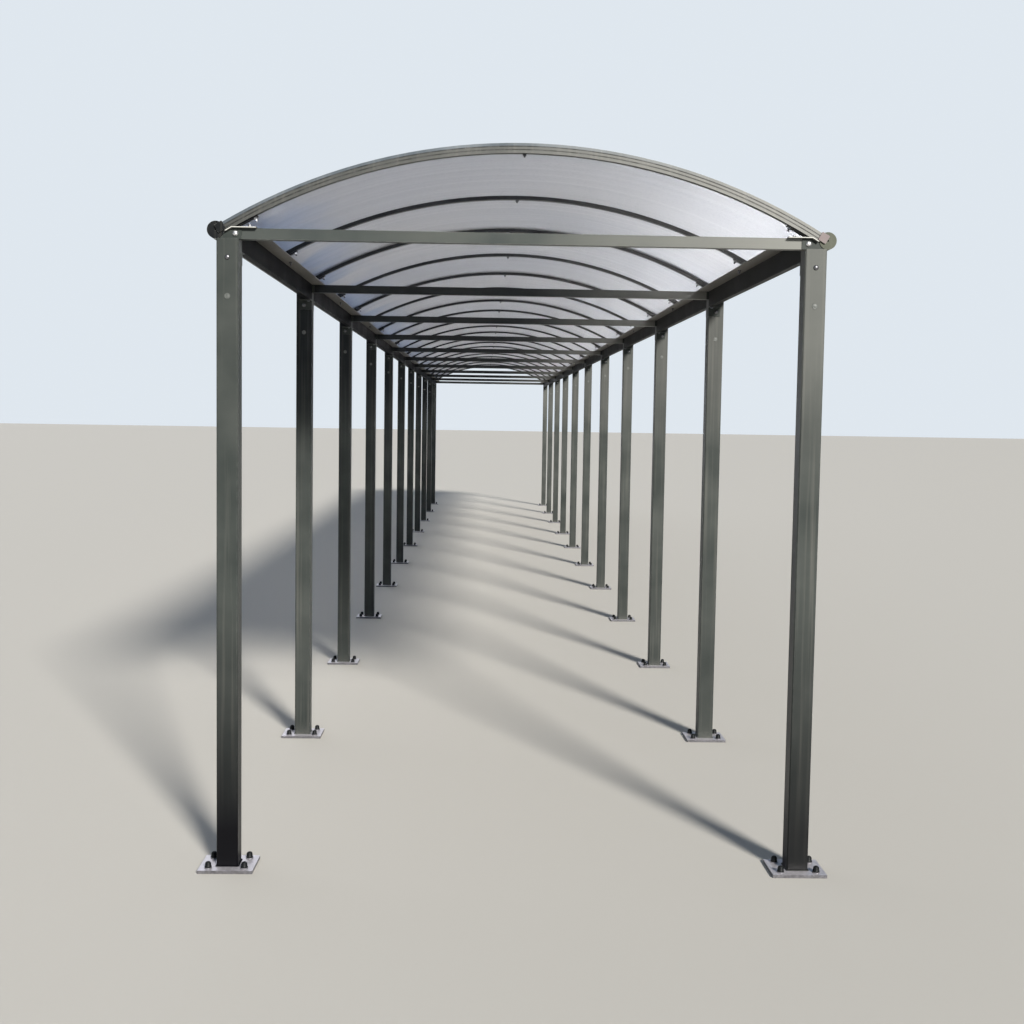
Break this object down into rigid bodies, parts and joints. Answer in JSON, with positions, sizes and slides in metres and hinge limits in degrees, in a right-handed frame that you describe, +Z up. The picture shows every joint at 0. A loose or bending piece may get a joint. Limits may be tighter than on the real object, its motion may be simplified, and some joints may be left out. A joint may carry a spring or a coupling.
{
  "type": "covered walkway canopy",
  "caption": "Open cycle and pedestrian shelter: square steel posts on bolted plates carry ties, purlins and a shallow barrel roof of translucent sheets.",
  "frame": {"origin": "on the ground below the middle of the roof", "axes": "+X across the walkway to the right, +Y along it away from the front end, +Z up"},
  "size_m": [2.365, 21.18, 2.717],
  "materials": {
    "frame_paint": "grey-green anthracite powder coat over steel, satin",
    "galvanised_steel": "weathered galvanised plate",
    "hoop_paint": "dark grey powder coat, satin",
    "trim_aluminium": "mill finish aluminium, slightly dulled",
    "cap_plastic": "dark grey moulded plastic",
    "roof_sheet": "translucent ribbed polycarbonate, lightly weathered"
  },
  "bodies": {
    "root": {"left_posts": "frame_paint", "right_posts": "frame_paint", "tie_beams": "frame_paint", "left_tie_shoes": "frame_paint", "right_tie_shoes": "frame_paint", "left_purlins": "frame_paint", "right_purlins": "frame_paint", "left_purlin_seats": "frame_paint", "right_purlin_seats": "frame_paint", "left_eaves_plate": "frame_paint", "right_eaves_plate": "frame_paint", "left_gutter_tube": "frame_paint", "right_gutter_tube": "frame_paint", "left_foot_plates": "galvanised_steel", "right_foot_plates": "galvanised_steel", "front_hoop": "hoop_paint", "rear_hoop": "hoop_paint", "frame_hoops": "hoop_paint", "mid_bay_hoops": "hoop_paint", "left_hoop_feet": "hoop_paint", "right_hoop_feet": "hoop_paint", "front_trim": "trim_aluminium", "rear_trim": "trim_aluminium", "cover_strips": "trim_aluminium", "gutter_caps": "cap_plastic", "trim_caps": "cap_plastic", "roof_sheet_01": "roof_sheet", "roof_sheet_02": "roof_sheet", "roof_sheet_03": "roof_sheet", "roof_sheet_04": "roof_sheet", "roof_sheet_05": "roof_sheet", "roof_sheet_06": "roof_sheet", "roof_sheet_07": "roof_sheet", "roof_sheet_08": "roof_sheet", "roof_sheet_09": "roof_sheet", "roof_sheet_10": "roof_sheet"}
  },
  "joints": []
}
